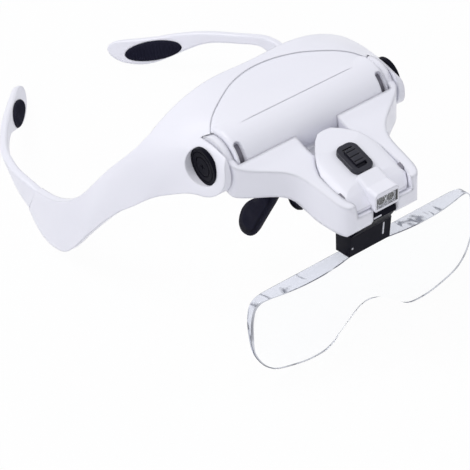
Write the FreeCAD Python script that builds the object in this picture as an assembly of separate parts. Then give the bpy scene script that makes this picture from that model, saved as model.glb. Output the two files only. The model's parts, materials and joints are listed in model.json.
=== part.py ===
import FreeCAD, Part
import math
import os

os.makedirs("parts", exist_ok=True)

# Binocular headband magnifier, in millimetres. +Z is up, the front faces -Y, +X is the wearer's left.
# Every piece is drawn about the tilt pivot and then moved so that z = 0 is the surface it stands on.
# Lengths called BACK or FRONT are distances behind or in front of the pivot axis, and DROP, FLOOR or
# LOW ones are distances below it.

# Whole object
PIVOT_HEIGHT = 77.4        # pivot axis above the surface
PIVOT_SETBACK = 59.5       # pivot axis in front of the middle of the length
SOFT_GAP = 0.35            # between pieces that move past each other
RUN_GAP = 0.05             # radial running fit
SNUG_GAP = 0.12            # round fixed pieces in their seats
OVERRUN = 5.0              # how far a cutter runs past the face it cuts

# Main frame
WALL = 3.0
DRUM_RADIUS = 12.0
DRUM_HALF = 36.8
DRUM_WALL = 2.2
DRUM_ROUND = 1.8
FLAT_BACK = 7.0            # flat back of the drum
RIM_WIDTH = 4.2            # rim round the opening in the drum's back
RIM_DEPTH = 4.0
COVER_HALF = 32.6
COVER_HEIGHT = 17.8
COVER_THICK = 1.6
PANEL_DROP = 0.45         # step from the crown down to the half-moon panel
CROWN_TOP = 12.7
CROWN_BACK = 29.5
PANEL_BACK = 25.4
PANEL_HALF = 38.0
CHEEK_INNER = 40.9
CHEEK_OUTER = 52.0
SLOT_NEAR = 32.8           # blind slots in the drum beside its ends
SLOT_FAR = 35.8
SLOT_FLOOR = 9.4           # radius at the bottom of a slot
SLOT_TOP_ANGLE = 129.0
SLOT_LOW_ANGLE = 196.0

# Wings and the seams of the temple tips
WING_LENGTH = 96.0
WING_HALF = 71.0
WING_DROP = 74.0

# Temple tips
TIP_THICK = 3.4
TIP_LENGTH = 83.3          # behind the middle of the seam
TIP_HALF = 6.8             # half of the tip's largest height
TIP_LEAN = 24.0            # degrees that the inner face looks up at the end
TIP_BEVEL = 0.7
TONGUE_LENGTH = 8.0
TONGUE_HEIGHT = 5.5
TONGUE_THICK = 1.0
TEMPLE_PAD_LENGTH = 28.0
TEMPLE_PAD_HEIGHT = 8.8
TEMPLE_PAD_PROUD = 0.9
TEMPLE_PAD_SUNK = 1.0
TEMPLE_PAD_SLOPE = 16.5    # degrees, rear end up
RIB_COUNT = 9
RIB_WIDTH = 0.8
RIB_PROUD = 0.4

# Tilt pivot
HUB_INNER = 37.3
HUB_OUTER = 40.3
HUB_RADIUS = 10.0
PIN_RADIUS = 2.4
PIN_HEAD_RADIUS = 5.0
PIN_HEAD = 1.4
CAP_SEAT = 43.7
CAP_FACE = 45.5
CAP_RADIUS = 7.6
CAP_GROOVE = 0.4
CAP_CROSS = 2.6
WASHER_RADIUS = 7.5
WASHER_THICK = 0.4

# Yoke
YOKE_HALF = 40.3
YOKE_FRONT = 52.8
YOKE_LOW = 17.0
BOX_HALF = 19.6
POCKET_GAP = 0.4           # round the light head
POCKET_FLOOR = 14.3
REAR_HALF = 10.0           # open space between the arms, behind the light head
REAR_FRONT = 22.3
DOORWAY_HALF = 12.4
DOORWAY_BACK = 20.4
DOORWAY_FRONT = 44.0
BOSS_INNER = 6.0           # bosses that carry the hinge of the lens clip
BOSS_OUTER = 13.4
BOSS_BACK = 46.2
BOSS_TOP = 8.8
BOSS_LOW = 16.3
CLIP_RELIEF_HALF = 10.6
CLIP_RELIEF_BACK = 44.0

# Light head
HEAD_HALF = 14.7
HEAD_BACK = 16.0
HEAD_FRONT = 51.2
BASE_FRONT = 45.7
HEAD_SPLIT = 7.0           # parting plane between cover and base
HEAD_FLOOR = 14.0
HEAD_WALL = 1.5
TOP_LEVEL = 4.4
SLOPE_BACK = 27.0          # sloping top, from back to front
SLOPE_FRONT = 43.5
SLOPE_TOP = 3.1
SLOPE_LOW = 1.0
CROWN_DROP = 2.4           # from the middle of the cover's top to its side edges
BROW_BACK = 46.6           # steep front of the cover, from its upper edge to its lower one
BROW_TOP = 3.2
BROW_FRONT = 50.7
BROW_LOW = 8.4             # underside of the cover in front of the base
NOSE_HALF = 5.6
NOSE_FRONT = 53.8
NOSE_CREST = 0.8           # top of the nose at its back, above the axis
NOSE_TOP = 1.2
NOSE_BEND = 47.9
NOSE_LOW = 9.3
NOSE_BACK = 42.0
NOSE_ROUND = 1.6
WINDOW_HALF = 4.9
WINDOW_TOP = 3.3
WINDOW_LOW = 8.1
WINDOW_THICK = 1.0
LED_RADIUS = 1.5
LED_LENGTH = 4.0
LED_TIP = 50.2
LED_DROP = 5.9
LED_SPACING = 4.3
LEAD_WIDTH = 0.5
LEAD_REACH = 2.5
LEAD_SPACING = 1.6
REFLECTOR_BACK = 49.9
REFLECTOR_FRONT = 52.3
REFLECTOR_BACK_RADIUS = 1.8
REFLECTOR_FRONT_RADIUS = 2.1
REFLECTOR_WALL = 0.22
BOARD_HALF = 12.3
BOARD_BACK = 27.5
BOARD_FRONT = 45.0
BOARD_LOW = 4.9
BOARD_THICK = 1.0
POST_INNER = 11.7
POST_OUTER = 12.8
POST_LENGTH = 3.0
POST_BACKS = (33.0, 39.5)
DOOR_HALF = 11.3
DOOR_BACK = 21.6
DOOR_FRONT = 43.0
DOOR_TAPER_BACK = 27.2
DOOR_TAPER_HALF = 7.2
DOOR_THICK = 1.4
DOOR_SLOT_LENGTH = 7.0
DOOR_SLOT_WIDTH = 1.4
DOOR_SLOT_DEPTH = 0.7
CELL_RADIUS = 10.0
CELL_THICK = 3.2
CELL_BACK = 32.0
CELL_LOW = 12.3
CELL_STEP = 0.35
CONTACT_THICK = 0.3
CONTACT_HALF = 2.0
CONTACT_LENGTH = 8.0
SWITCH_BACK = 34.4
BEZEL_LENGTH = 14.6
BEZEL_WIDTH = 9.6
BEZEL_CORNER = 3.4
BEZEL_THICK = 1.7
BEZEL_LIP = 0.9
KNOB_LENGTH = 7.4
KNOB_WIDTH = 4.6
KNOB_PROUD = 1.0
KNOB_RIBS = 3
KNOB_RIB = 0.5
FLANGE_LENGTH = 9.4
FLANGE_WIDTH = 6.2
SLIDE_TRAVEL = 1.2
STEM_SIZE = 1.8
STEM_LENGTH = 1.9
SWITCH_HALF = 3.2
SWITCH_LENGTH = 9.4
SWITCH_HEIGHT = 2.2

# Lens clip
HINGE_FRONT = 48.8
HINGE_DROP = 12.8
HINGE_RADIUS = 1.2
HINGE_REACH = 4.0          # of a hinge pin into a boss
KNUCKLE_RADIUS = 2.5
KNUCKLE_HALF = 5.5
CLIP_HALF = 10.0
CLIP_HEIGHT = 16.4
CLIP_DEPTH = 7.9
CLIP_BEHIND = 1.0          # behind the flat back of the lens
CLIP_SLOT = 0.6
CLIP_SLOT_HEIGHT = 5.6
CLIP_SLOT_OUT = 5.9
CLIP_SLOT_LOW = 5.2        # above the upper edge of the lens

# Lens
LENS_HALF = 55.8
LENS_HEIGHT = 40.45
LENS_THICK = 9.0
LENS_RIM = 1.5             # least thickness, at the lower edge
LENS_RADIUS = 72.0         # of the domed front
LENS_CENTRE = 28.0         # optical centres from the middle
LENS_CENTRE_DROP = 6.0
LENS_BACK = 36.2           # flat back at the top edge
LENS_DROP = 37.4
LENS_TILT = 8.7            # degrees, lower edge forward
TAB_HALF = 7.8
TAB_HEIGHT = 10.0
TAB_THICK = 3.0
TAB_AHEAD = 1.6

# Nose pads
NOSE_PAD_LENGTH = 38.0
NOSE_PAD_WIDTH = 11.1
NOSE_PAD_AHEAD = 3.0       # of the prong's middle
NOSE_PAD_THICK = 3.4
NOSE_PAD_ROUND = 1.2
NOSE_PAD_OUT = 9.8         # inner face of a pad at its middle
NOSE_PAD_BACK = 10.6
NOSE_PAD_DROP = 47.4
NOSE_PAD_TILT = 25.6       # degrees, lower end backward
NOSE_PAD_LEAN = 5.0        # degrees, lower end outward
BRACKET_WIDTH = 3.2
BRACKET_THICK = 1.6
BRACKET_HALF = 9.0
BRACKET_DEPTH = 10.0
BRACKET_DROP = 17.0
BAR_UP = 34.0
BAR_DOWN = 10.0

# Screws of the drum's rear cover
SCREW_RADIUS = 1.1
SCREW_HEAD_RADIUS = 1.9
SCREW_HEAD = 1.2
SCREW_LENGTH = 4.6
SCREW_SLOT = 0.5


def vec(x, y, z):
    return FreeCAD.Vector(x, y, z)


def block(x0, x1, y0, y1, z0, z1):
    return Part.makeBox(x1 - x0, y1 - y0, z1 - z0, vec(x0, y0, z0))


def rod_x(x0, x1, y, z, radius):
    return Part.makeCylinder(radius, x1 - x0, vec(x0, y, z), vec(1, 0, 0))


def rod_y(y0, y1, x, z, radius):
    return Part.makeCylinder(radius, y1 - y0, vec(x, y0, z), vec(0, 1, 0))


def rod_z(z0, z1, x, y, radius):
    return Part.makeCylinder(radius, z1 - z0, vec(x, y, z0), vec(0, 0, 1))


def polygon(points):
    return Part.makePolygon(points + [points[0]])


def prism_x(points_yz, x0, x1):
    face = Part.Face(polygon([vec(x0, y, z) for y, z in points_yz]))
    return face.extrude(vec(x1 - x0, 0, 0))


def prism_z(points_xy, z0, z1):
    face = Part.Face(polygon([vec(x, y, z0) for x, y in points_xy]))
    return face.extrude(vec(0, 0, z1 - z0))


def spline(points):
    curve = Part.BSplineCurve()
    curve.interpolate(points)
    return curve.toShape()


def closed_spline(points):
    curve = Part.BSplineCurve()
    curve.interpolate(Points=points, PeriodicFlag=True)
    return Part.Wire([curve.toShape()])


def scaled(shares, x_size, y_size):
    return [(x * x_size, y * y_size) for x, y in shares]


def mirror(shape):
    return shape.mirror(vec(0, 0, 0), vec(1, 0, 0))


def both(shape):
    return shape.fuse(mirror(shape))


def fuse_all(shapes):
    return shapes[0].multiFuse(shapes[1:]).removeSplitter()


def cut_all(shape, cutters):
    for cutter in cutters:
        shape = shape.cut(cutter)
    return shape


def tilted(shape, y, z, degrees):
    turned = shape.copy()
    turned.rotate(vec(0, y, z), vec(1, 0, 0), degrees)
    return turned


def export(name, shape):
    moved = shape.copy()
    moved.translate(vec(0, -PIVOT_SETBACK, PIVOT_HEIGHT))
    moved.exportStep(os.path.join("parts", name + ".step"))


# Crown and wing sections. Shares are of WING_LENGTH for y, WING_HALF for x, and for z of CROWN_TOP
# above the axis and of WING_DROP below it.
SECTION_SHARES = [
    (-0.130, [(0, 1.0), (0.29, 1.0), (0.42, 0.96), (0.507, 0.84), (0.563, 0.68), (0.596, 0.48),
              (0.614, 0.08), (0.622, -0.081), (0.631, -0.165)]),
    (-0.042, [(0, 1.0), (0.29, 1.0), (0.42, 0.96), (0.507, 0.84), (0.568, 0.69), (0.611, 0.49),
              (0.636, 0.08), (0.651, -0.081), (0.666, -0.165)]),
    (0.0, [(0, 1.0), (0.29, 1.0), (0.42, 0.96), (0.507, 0.84), (0.570, 0.70), (0.620, 0.49),
           (0.646, 0.08), (0.664, -0.081), (0.684, -0.165)]),
    (0.083, [(0, 1.0), (0.29, 1.0), (0.42, 0.95), (0.507, 0.82), (0.577, 0.61), (0.641, 0.40),
             (0.676, 0.0), (0.701, -0.101), (0.721, -0.205)]),
    (0.198, [(0, 1.0), (0.29, 1.0), (0.42, 0.91), (0.507, 0.77), (0.599, 0.50), (0.690, 0.10),
             (0.732, -0.061), (0.758, -0.162), (0.769, -0.297)]),
    (0.307, [(0, 0.94), (0.29, 0.95), (0.42, 0.80), (0.507, 0.62), (0.606, 0.33), (0.704, -0.014),
             (0.761, -0.088), (0.803, -0.230), (0.831, -0.414)]),
    (0.417, [(0, 0.94), (0.29, 0.92), (0.42, 0.75), (0.535, 0.48), (0.648, 0.0), (0.746, -0.095),
             (0.817, -0.216), (0.859, -0.365), (0.887, -0.554)]),
    (0.521, [(0, 0.90), (0.29, 0.82), (0.45, 0.60), (0.592, 0.16), (0.718, -0.095),
             (0.810, -0.230), (0.873, -0.378), (0.930, -0.568), (0.961, -0.730)]),
    (0.625, [(0, 0.90), (0.29, 0.79), (0.465, 0.48), (0.634, -0.027), (0.775, -0.176),
             (0.873, -0.338), (0.937, -0.500), (0.980, -0.716), (1.0, -0.905)]),
    (0.750, [(0, 0.90), (0.29, 0.71), (0.493, 0.32), (0.676, -0.081), (0.817, -0.257),
             (0.915, -0.446), (0.979, -0.628), (1.0, -0.811), (1.008, -1.0)]),
    (0.875, [(0, 0.90), (0.29, 0.63), (0.493, 0.16), (0.690, -0.122), (0.845, -0.324),
             (0.930, -0.514), (0.983, -0.689), (0.997, -0.838), (1.003, -1.014)]),
    (1.0, [(0, 0.90), (0.29, 0.60), (0.493, 0.10), (0.690, -0.135), (0.845, -0.351),
           (0.930, -0.554), (0.976, -0.723), (0.989, -0.838), (0.994, -1.014)]),
]

# Rim and lower edge seen from the side, as shares of WING_LENGTH and WING_DROP
RIM_SHARES = [(0.332, -0.070), (0.385, -0.162), (0.458, -0.277), (0.536, -0.419), (0.594, -0.524),
              (0.677, -0.614), (0.792, -0.680), (0.896, -0.712), (0.960, -0.730), (1.050, -0.750)]
LOWER_SHARES = [(0.000, -0.162), (0.068, -0.192), (0.125, -0.235), (0.223, -0.316), (0.307, -0.414),
                (0.375, -0.490), (0.464, -0.619), (0.553, -0.774), (0.625, -0.895), (0.682, -0.962),
                (0.745, -0.995), (0.833, -1.001), (0.903, -0.976), (0.967, -0.905), (1.050, -0.800)]


def section_points(x_z_shares, inset):
    """Points of one half section, set in from the outside by inset."""
    outer = []
    for x_share, z_share in x_z_shares:
        height = CROWN_TOP if z_share >= 0 else WING_DROP
        outer.append((x_share * WING_HALF, z_share * height))
    last = outer[-1]
    before = outer[-2]
    outer.append((last[0] + (last[0] - before[0]) / 2, last[1] + (last[1] - before[1]) / 2))
    points = []
    for i, (x, z) in enumerate(outer):
        x0, z0 = outer[max(i - 1, 0)]
        x1, z1 = outer[min(i + 1, len(outer) - 1)]
        if i == 0:
            x0, z0 = -outer[1][0], outer[1][1]
        run = math.hypot(x1 - x0, z1 - z0)
        points.append((x + (z1 - z0) / run * inset, z - (x1 - x0) / run * inset))
    return points


def section_edge(points, y):
    curve = Part.BSplineCurve()
    ends = points[-1][0] - points[-2][0], points[-1][1] - points[-2][1]
    curve.interpolate(Points=[vec(x, y, z) for x, z in points],
                      InitialTangent=vec(points[1][0], 0, 0), FinalTangent=vec(ends[0], 0, ends[1]))
    return curve.toShape()


def envelope(inset):
    """Solid under the half crown and wing, set in from the outside by inset."""
    wires = []
    for y_share, x_z_shares in SECTION_SHARES:
        y = y_share * WING_LENGTH
        points = section_points(x_z_shares, inset)
        top = vec(0, y, points[0][1])
        low = vec(points[-1][0], y, points[-1][1])
        foot = vec(0, y, points[-1][1])
        sides = [Part.makeLine(low, foot), Part.makeLine(foot, top)]
        wires.append(Part.Wire([section_edge(points, y)] + sides))
    return Part.makeLoft(wires, True, False)


# Seam of the temple tips from the side, as shares of WING_LENGTH and WING_DROP, top point first
SEAM_SHARES = [(0.896, -0.712), (0.967, -0.892)]


def side_cutter(edge_shares, corners):
    """Prism across the object, bounded by a smooth edge and by the corners given."""
    points = [vec(0, y * WING_LENGTH, z * WING_DROP) for y, z in edge_shares]
    ends = [vec(0, y, z) for y, z in corners]
    lines = [points[-1]] + ends + [points[0]]
    edges = [spline(points)]
    edges += [Part.makeLine(a, b) for a, b in zip(lines, lines[1:])]
    return Part.Face(Part.Wire(edges)).extrude(vec(2 * WING_HALF, 0, 0))


def seam_cutter():
    """Everything behind the slanted seam between a wing and its temple tip."""
    (top_y, top_z), (low_y, low_z) = scaled(SEAM_SHARES, WING_LENGTH, WING_DROP)
    slope = (low_y - top_y) / (top_z - low_z)
    reach = WING_DROP / 2
    top = (top_y - slope * reach, top_z + reach)
    low = (low_y + slope * reach, low_z - reach)
    far = 2 * WING_LENGTH
    return prism_x([top, low, (far, low[1]), (far, top[1])], 0, 2 * WING_HALF)


def seam_middle():
    (top_y, top_z), (low_y, low_z) = scaled(SEAM_SHARES, WING_LENGTH, WING_DROP)
    return (top_y + low_y) / 2, (top_z + low_z) / 2


def half_moon(z0, z1):
    """Prism over the half-moon panel: a straight front and an arched back."""
    rise_shares = [(1.0, 0.17), (0.87, 0.40), (0.68, 0.60), (0.5, 0.77), (0.3, 0.91), (0, 1.0)]
    half = scaled(rise_shares, PANEL_HALF, PANEL_BACK)
    arc = [vec(x, y, z0) for x, y in half] + [vec(-x, y, z0) for x, y in half[-2::-1]]
    right = vec(PANEL_HALF, -DRUM_RADIUS, z0)
    left = vec(-PANEL_HALF, -DRUM_RADIUS, z0)
    edges = [spline(arc), Part.makeLine(arc[-1], left), Part.makeLine(left, right)]
    edges.append(Part.makeLine(right, arc[0]))
    return Part.Face(Part.Wire(edges)).extrude(vec(0, 0, z1 - z0))


def wing_shell(outer, inner):
    """Crown and both wings as one moulding, without the drum."""
    half = outer.cut(inner)
    rim_top = (RIM_SHARES[-1][0] * WING_LENGTH, 2 * CROWN_TOP)
    rim_front = (CROWN_BACK, 2 * CROWN_TOP)
    low_back = (LOWER_SHARES[-1][0] * WING_LENGTH, -2 * WING_DROP)
    half = half.cut(side_cutter(RIM_SHARES, [rim_top, rim_front, (CROWN_BACK, 0)]))
    half = half.cut(side_cutter(LOWER_SHARES, [low_back, (0, -2 * WING_DROP)]))
    half = half.cut(block(-OVERRUN, CHEEK_OUTER, -CHEEK_OUTER, 0, -WING_DROP, 2 * CROWN_TOP))
    half = half.cut(seam_cutter())
    half = half.cut(tongue(SNUG_GAP))
    return both(half.cut(half_moon(0, 2 * CROWN_TOP)))


def ring_slot():
    """Blind slot round the upper front of the drum, next to its end, with a rounded top."""
    middle = (SLOT_TOP_ANGLE + SLOT_LOW_ANGLE) / 2
    points = [(0, 0)]
    for degrees in (SLOT_TOP_ANGLE, middle, SLOT_LOW_ANGLE):
        angle = math.radians(degrees)
        points.append((2 * DRUM_RADIUS * math.cos(angle), 2 * DRUM_RADIUS * math.sin(angle)))
    ring = prism_x(points, SLOT_NEAR, SLOT_FAR).cut(rod_x(SLOT_NEAR, SLOT_FAR, 0, 0, SLOT_FLOOR))
    angle = math.radians(SLOT_TOP_ANGLE)
    radial = vec(0, math.cos(angle), math.sin(angle))
    foot = vec((SLOT_NEAR + SLOT_FAR) / 2, SLOT_FLOOR * radial.y, SLOT_FLOOR * radial.z)
    return ring.fuse(Part.makeCylinder((SLOT_FAR - SLOT_NEAR) / 2, DRUM_RADIUS, foot, radial))


def cover_space():
    """Room for the rear cover behind the drum's flat back."""
    half = COVER_HALF + SNUG_GAP
    height = COVER_HEIGHT / 2 + SNUG_GAP
    return block(-half, half, FLAT_BACK, DRUM_RADIUS, -height, height)


def drum():
    """Horizontal front tube with closed ends and a flat, open back."""
    tube = rod_x(-DRUM_HALF, DRUM_HALF, 0, 0, DRUM_RADIUS)
    rims = [edge for edge in tube.Edges if len(edge.Vertexes) == 1]
    tube = tube.makeFillet(DRUM_ROUND, rims)
    bore_half = SLOT_NEAR - DRUM_WALL
    tube = tube.cut(rod_x(-bore_half, bore_half, 0, 0, DRUM_RADIUS - DRUM_WALL))
    half = COVER_HALF + SNUG_GAP
    height = COVER_HEIGHT / 2 + SNUG_GAP
    rim = block(-half, half, FLAT_BACK - RIM_DEPTH, FLAT_BACK, -height, height)
    hole = block(RIM_WIDTH - half, half - RIM_WIDTH, 0, DRUM_RADIUS, RIM_WIDTH - height, height - RIM_WIDTH)
    return cut_all(tube.cut(cover_space()).fuse(rim.cut(hole)), [ring_slot(), mirror(ring_slot())])


def main_frame():
    outer = envelope(0)
    inner = envelope(WALL)
    shell = wing_shell(outer, inner)
    panel = both(envelope(PANEL_DROP).cut(inner)).common(half_moon(0, 2 * CROWN_TOP))
    front = block(-CHEEK_OUTER, CHEEK_OUTER, -CHEEK_OUTER, 0, 0, 2 * CROWN_TOP)
    cheek = rod_x(CHEEK_INNER, CHEEK_OUTER, 0, 0, DRUM_RADIUS).common(outer)
    frame = fuse_all([shell, panel.cut(front), drum(), both(cheek)])
    hub_space = rod_x(DRUM_HALF, CHEEK_INNER, 0, 0, HUB_RADIUS + SOFT_GAP)
    cap_hole = rod_x(CAP_SEAT, CHEEK_OUTER + OVERRUN, 0, 0, CAP_RADIUS + SNUG_GAP)
    head_hole = rod_x(CAP_SEAT - PIN_HEAD, CAP_SEAT, 0, 0, PIN_HEAD_RADIUS + SNUG_GAP)
    pin_hole = rod_x(DRUM_HALF - 2 * DRUM_WALL, CAP_SEAT, 0, 0, PIN_RADIUS + RUN_GAP)
    cutters = [cover_space()] + [both(shape) for shape in (hub_space, cap_hole, head_hole, pin_hole)]
    cutters += [rod_y(FLAT_BACK - SCREW_LENGTH, FLAT_BACK, x, z, SCREW_RADIUS) for x, z in SCREW_PLACES]
    return cut_all(frame, cutters)


def tongue(gap):
    """Flat tongue of a temple tip inside its wing's wall, or the slot for it with a gap."""
    y, z = seam_middle()
    x = SEAM_OUT_SHARE * WING_HALF - WALL / 2
    thick = TONGUE_THICK / 2 + gap
    high = TONGUE_HEIGHT / 2 + gap
    return block(x - thick, x + thick, y - TONGUE_LENGTH - gap, y + TONGUE_LENGTH / 2, z - high, z + high)


SEAM_OUT_SHARE = 0.991     # of WING_HALF, out to the wing's outer face at the middle of the seam

# Temple tips, a row for each station from the wing to the end: middle of the outer face as shares of
# WING_HALF, of TIP_LENGTH behind the seam and of WING_DROP, then half height and lean as shares of
# TIP_HALF and TIP_LEAN.
TIP_SHARES = [(0.984, -0.125, -0.800, 1.15, -0.17), (0.988, 0.008, -0.812, 1.02, -0.15),
              (0.991, 0.075, -0.796, 0.95, 0.02), (0.986, 0.199, -0.752, 0.58, 0.28),
              (0.956, 0.295, -0.744, 0.35, 0.40), (0.892, 0.415, -0.776, 0.33, 0.47),
              (0.801, 0.535, -0.800, 0.36, 0.57), (0.701, 0.643, -0.848, 0.56, 0.70),
              (0.619, 0.727, -0.902, 0.77, 0.76), (0.550, 0.799, -0.947, 0.88, 0.78),
              (0.480, 0.871, -0.973, 0.87, 0.82), (0.422, 0.931, -0.982, 0.76, 0.90),
              (0.388, 0.967, -0.981, 0.60, 0.96), (0.366, 0.990, -0.978, 0.38, 1.0),
              (0.358, 1.0, -0.976, 0.16, 1.0)]
PAD_STATION = 9            # row of the middle of the temple pad


def tip_station(row):
    """Middle of the outer face, inward and upward directions and half height at a station."""
    x, y, z = [TIP_SHARES[row][i] for i in range(3)]
    seam_y = seam_middle()[0]
    centre = vec(x * WING_HALF, seam_y + y * TIP_LENGTH, z * WING_DROP)
    before = TIP_SHARES[max(row - 1, 0)]
    after = TIP_SHARES[min(row + 1, len(TIP_SHARES) - 1)]
    along = vec((after[0] - before[0]) * WING_HALF, (after[1] - before[1]) * TIP_LENGTH, 0)
    along.normalize()
    inward = vec(-along.y, along.x, 0)
    lean = math.radians(TIP_SHARES[row][4] * TIP_LEAN)
    normal = inward * math.cos(lean) + vec(0, 0, math.sin(lean))
    upward = vec(0, 0, math.cos(lean)) - inward * math.sin(lean)
    return centre, normal, upward, TIP_SHARES[row][3] * TIP_HALF


def tip_band(near, far, margin, bevel):
    """Loft along a tip between two depths inward from its outer face, higher by margin each way."""
    wires = []
    for row in range(len(TIP_SHARES)):
        centre, normal, upward, half = tip_station(row)
        high = half + margin
        places = [(near, bevel - high), (near, high - bevel), (near + bevel, high), (far - bevel, high),
                  (far, high - bevel), (far, bevel - high), (far - bevel, -high), (near + bevel, -high)]
        if not bevel:
            places = places[:2] + places[4:6]
        wires.append(polygon([centre + normal * depth + upward * level for depth, level in places]))
    return Part.makeLoft(wires, True, False)


def pad_placement():
    """Frame on the outer face of a tip at the middle of its pad, with X along the pad."""
    centre, normal, upward, _ = tip_station(PAD_STATION)
    slope = math.radians(TEMPLE_PAD_SLOPE)
    along = upward.cross(normal)
    length_axis = along * math.cos(slope) + upward * math.sin(slope)
    height_axis = upward * math.cos(slope) - along * math.sin(slope)
    return centre, length_axis, height_axis, normal


def temple_oval(length, height, reach):
    """Oval prism square to the inner face of a tip at the middle of its pad."""
    centre, length_axis, height_axis, normal = pad_placement()
    points = []
    for i in range(OVAL_POINTS):
        angle = 2 * math.pi * i / OVAL_POINTS
        points.append(centre - normal * reach + length_axis * math.cos(angle) * length / 2
                      + height_axis * math.sin(angle) * height / 2)
    return Part.Face(closed_spline(points)).extrude(normal * 2 * reach)


OVAL_POINTS = 16


def temple_tip():
    """Tip on the +X side."""
    behind = seam_cutter()
    behind.translate(vec(0, SNUG_GAP, 0))
    tip = tip_band(0, TIP_THICK, 0, TIP_BEVEL).common(behind).fuse(tongue(0))
    length = TEMPLE_PAD_LENGTH + 2 * SNUG_GAP
    height = TEMPLE_PAD_HEIGHT + 2 * SNUG_GAP
    floor = tip_band(TIP_THICK - TEMPLE_PAD_SUNK, 2 * TIP_THICK, TIP_HALF, 0)
    return tip.cut(temple_oval(length, height, 3 * TIP_THICK).common(floor))


def temple_pad():
    """Ribbed oval pad sunk into the inner face of the +X tip."""
    body = tip_band(TIP_THICK - TEMPLE_PAD_SUNK, TIP_THICK + TEMPLE_PAD_PROUD, TIP_HALF, 0)
    pad = temple_oval(TEMPLE_PAD_LENGTH, TEMPLE_PAD_HEIGHT, 3 * TIP_THICK).common(body)
    band = tip_band(TIP_THICK, TIP_THICK + TEMPLE_PAD_PROUD + RIB_PROUD, TIP_HALF, 0)
    shorter = TEMPLE_PAD_LENGTH - 2 * RIB_WIDTH
    field = temple_oval(shorter, TEMPLE_PAD_HEIGHT - 2 * RIB_WIDTH, 3 * TIP_THICK).common(band)
    centre, length_axis, height_axis, normal = pad_placement()
    ribs = []
    for i in range(RIB_COUNT):
        offset = ((i + 1) / (RIB_COUNT + 1) - 1 / 2) * shorter
        corner = centre + length_axis * (offset - RIB_WIDTH / 2) - height_axis * TEMPLE_PAD_HEIGHT
        across = corner + height_axis * 2 * TEMPLE_PAD_HEIGHT
        step = length_axis * RIB_WIDTH
        plate = Part.Face(polygon([corner, corner + step, across + step, across]))
        ribs.append(field.common(plate.extrude(normal * 3 * TIP_THICK)))
    return fuse_all([pad] + ribs)


def pivot_cap():
    """Round cap over the +X pivot, with two ring grooves and a small cross."""
    cap = rod_x(CAP_SEAT, CAP_FACE, 0, 0, CAP_RADIUS)
    for share in CAP_RING_SHARES:
        radius = share * CAP_RADIUS
        groove = rod_x(CAP_FACE - CAP_GROOVE, CAP_FACE, 0, 0, radius)
        cap = cap.cut(groove.cut(rod_x(CAP_FACE - CAP_GROOVE, CAP_FACE, 0, 0, radius - CAP_GROOVE)))
    arm = CAP_CROSS / 2
    bar = CAP_GROOVE / 2
    cross = block(CAP_FACE - CAP_GROOVE, CAP_FACE, -arm, arm, -bar, bar)
    return cap.cut(cross.fuse(block(CAP_FACE - CAP_GROOVE, CAP_FACE, -bar, bar, -arm, arm)))


CAP_RING_SHARES = (0.84, 0.56)


def pivot_pin():
    shank = rod_x(DRUM_HALF - DRUM_WALL, CAP_SEAT - PIN_HEAD, 0, 0, PIN_RADIUS)
    return shank.fuse(rod_x(CAP_SEAT - PIN_HEAD, CAP_SEAT, 0, 0, PIN_HEAD_RADIUS))


def friction_washer():
    middle = (HUB_OUTER + CHEEK_INNER) / 2
    near = middle - WASHER_THICK / 2
    disc = rod_x(near, near + WASHER_THICK, 0, 0, WASHER_RADIUS)
    return disc.cut(rod_x(HUB_INNER, CAP_SEAT, 0, 0, PIN_RADIUS + RUN_GAP))


def rear_cover():
    half = COVER_HALF
    height = COVER_HEIGHT / 2
    plate = block(-half, half, FLAT_BACK, FLAT_BACK + COVER_THICK, -height, height)
    holes = []
    for x, z in SCREW_PLACES:
        holes.append(rod_y(FLAT_BACK, FLAT_BACK + COVER_THICK, x, z, SCREW_RADIUS + RUN_GAP))
        seat = FLAT_BACK + COVER_THICK - SCREW_HEAD / 2
        holes.append(rod_y(seat, seat + SCREW_HEAD, x, z, SCREW_HEAD_RADIUS + SNUG_GAP))
    return cut_all(plate, holes)


def cover_screw(x, z):
    seat = FLAT_BACK + COVER_THICK - SCREW_HEAD / 2
    screw = rod_y(FLAT_BACK + COVER_THICK - SCREW_LENGTH, seat, x, z, SCREW_RADIUS)
    screw = screw.fuse(rod_y(seat, seat + SCREW_HEAD, x, z, SCREW_HEAD_RADIUS))
    top = seat + SCREW_HEAD
    arm = SCREW_HEAD_RADIUS / 2
    bar = SCREW_SLOT / 2
    cross = block(x - arm, x + arm, top - SCREW_SLOT, top, z - bar, z + bar)
    return screw.cut(cross.fuse(block(x - bar, x + bar, top - SCREW_SLOT, top, z - arm, z + arm)))


SCREW_INSET_SHARE = 0.55   # of the width of the rim
SCREW_PLACES = [(side * (COVER_HALF - SCREW_INSET_SHARE * RIM_WIDTH),
                 level * (COVER_HEIGHT / 2 - SCREW_INSET_SHARE * RIM_WIDTH))
                for side in (-1, 1) for level in (-1, 1)]

# Yoke from above, as shares of YOKE_HALF and YOKE_FRONT, and the upper and lower lines of its arms and
# box from the side, as shares of YOKE_FRONT and YOKE_LOW.
YOKE_PLAN_SHARES = [(1.0, -0.185), (0.985, -0.225), (0.943, -0.262), (0.819, -0.331), (0.695, -0.398),
                    (0.596, -0.464), (0.528, -0.545), (0.497, -0.644), (0.484, -0.740),
                    (0.470, -0.850), (0.455, -0.915), (0.425, -0.965), (0.370, -0.994), (0.300, -1.0)]
ARM_TOP_SHARES = [(-0.100, 0.324), (-0.218, 0.240), (-0.322, 0.130), (-0.455, 0.065),
                  (-0.549, 0.000), (-0.720, -0.080), (-0.880, -0.140), (-1.04, -0.230)]
ARM_LOW_SHARES = [(-0.100, -0.530), (-0.150, -0.590), (-0.250, -0.615), (-0.340, -0.620),
                  (-0.440, -0.640), (-0.520, -0.760), (-0.590, -0.900), (-0.660, -0.985),
                  (-0.800, -1.0), (-1.04, -0.960)]
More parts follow.
